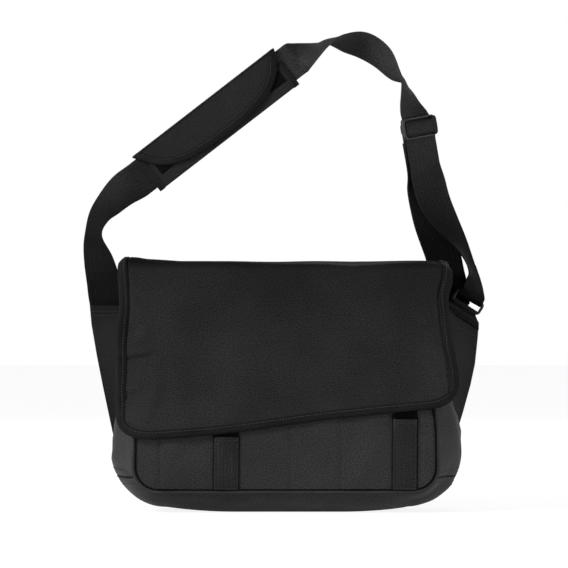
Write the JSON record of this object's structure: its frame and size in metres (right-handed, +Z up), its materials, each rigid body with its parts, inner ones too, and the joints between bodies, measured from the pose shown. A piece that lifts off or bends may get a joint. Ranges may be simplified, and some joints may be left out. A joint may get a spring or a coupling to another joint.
{
  "type": "messenger bag",
  "caption": "Soft cross-body bag with a full-width slanted flap, a front pocket with ribbed webbing sleeves, and a webbing strap with an adjuster, a ring and a sliding shoulder pad.",
  "frame": {"origin": "on the floor under the middle of the bag, half way between the front and back seams", "axes": "+X to the right in the front view, +Y from the front panel to the back panel, +Z up"},
  "size_m": [0.5423, 0.174, 0.6357],
  "materials": {
    "cloth": "matte coarse weave",
    "binding": "ribbed tape",
    "webbing": "ribbed webbing with a slight sheen",
    "closure_tape": "hook and loop pile",
    "lining": "smooth plain weave",
    "foam": "soft open foam",
    "board": "stiff sheet",
    "plastic": "moulded, slightly satin"
  },
  "bodies": {
    "bag": {"front_panel": "cloth", "back_panel": "cloth", "left_gusset": "cloth", "right_gusset": "cloth", "bottom_panel": "cloth", "mouth_binding": "binding", "lining": "lining", "back_foam": "foam", "base_board": "board", "front_pocket": "cloth", "pocket_welt": "binding", "left_sleeve": "webbing", "right_sleeve": "webbing", "loop_tapes": "closure_tape", "back_piping": "binding", "left_ear": "cloth", "right_ear": "cloth"},
    "flap_top": {"flap_top_panel": "cloth", "flap_top_lining": "lining"},
    "flap_front": {"flap_front_panel": "cloth", "flap_front_lining": "lining", "flap_binding": "binding", "hook_tapes": "closure_tape"},
    "strap": {"strap_webbing": "webbing", "ring_keeper": "webbing"},
    "ring": {"ring": "plastic"},
    "slider": {"slider_frame": "plastic", "strap_end_tab": "webbing"},
    "pad": {"pad_shell": "cloth", "pad_foam": "foam", "pad_lining": "lining", "pad_flange": "cloth", "pad_flange_binding": "binding", "pad_loop_tape": "closure_tape"},
    "pad_flap": {"pad_flap": "cloth", "pad_flap_binding": "binding", "pad_hook_tape": "closure_tape"}
  },
  "joints": [
    {"name": "flap_top_fold", "type": "hinge", "parent": "bag", "child": "flap_top", "pos_m": [0, 0.056, 0.3278], "axis": [-1, 0, 0], "range_deg": [0, 88]},
    {"name": "flap_front_fold", "type": "hinge", "parent": "flap_top", "child": "flap_front", "pos_m": [0, -0.0658, 0.3312], "axis": [-1, 0, 0], "range_deg": [0, 90]},
    {"name": "strap_swing", "type": "hinge", "parent": "bag", "child": "strap", "pos_m": [0, 0.0607, 0.264], "axis": [-1, 0, 0], "range_deg": [0, 120]},
    {"name": "ring_pivot", "type": "hinge", "parent": "strap", "child": "ring", "pos_m": [0.23646, 0.0607, 0.26892], "axis": [0.848, 0, -0.5299], "range_deg": [-6, 6]},
    {"name": "slider_slide", "type": "slide", "parent": "strap", "child": "slider", "axis": [-0.1602, -0.0572, 0.9854], "range_m": [-0.008, 0.008]},
    {"name": "pad_slide", "type": "slide", "parent": "strap", "child": "pad", "axis": [0.7912, 0, 0.6115], "range_m": [-0.012, 0.012]},
    {"name": "pad_flap_fold", "type": "hinge", "parent": "pad", "child": "pad_flap", "pos_m": [-0.11399, 0.067, 0.54203], "axis": [-0.7912, 0, -0.6115], "range_deg": [0, 150]}
  ]
}
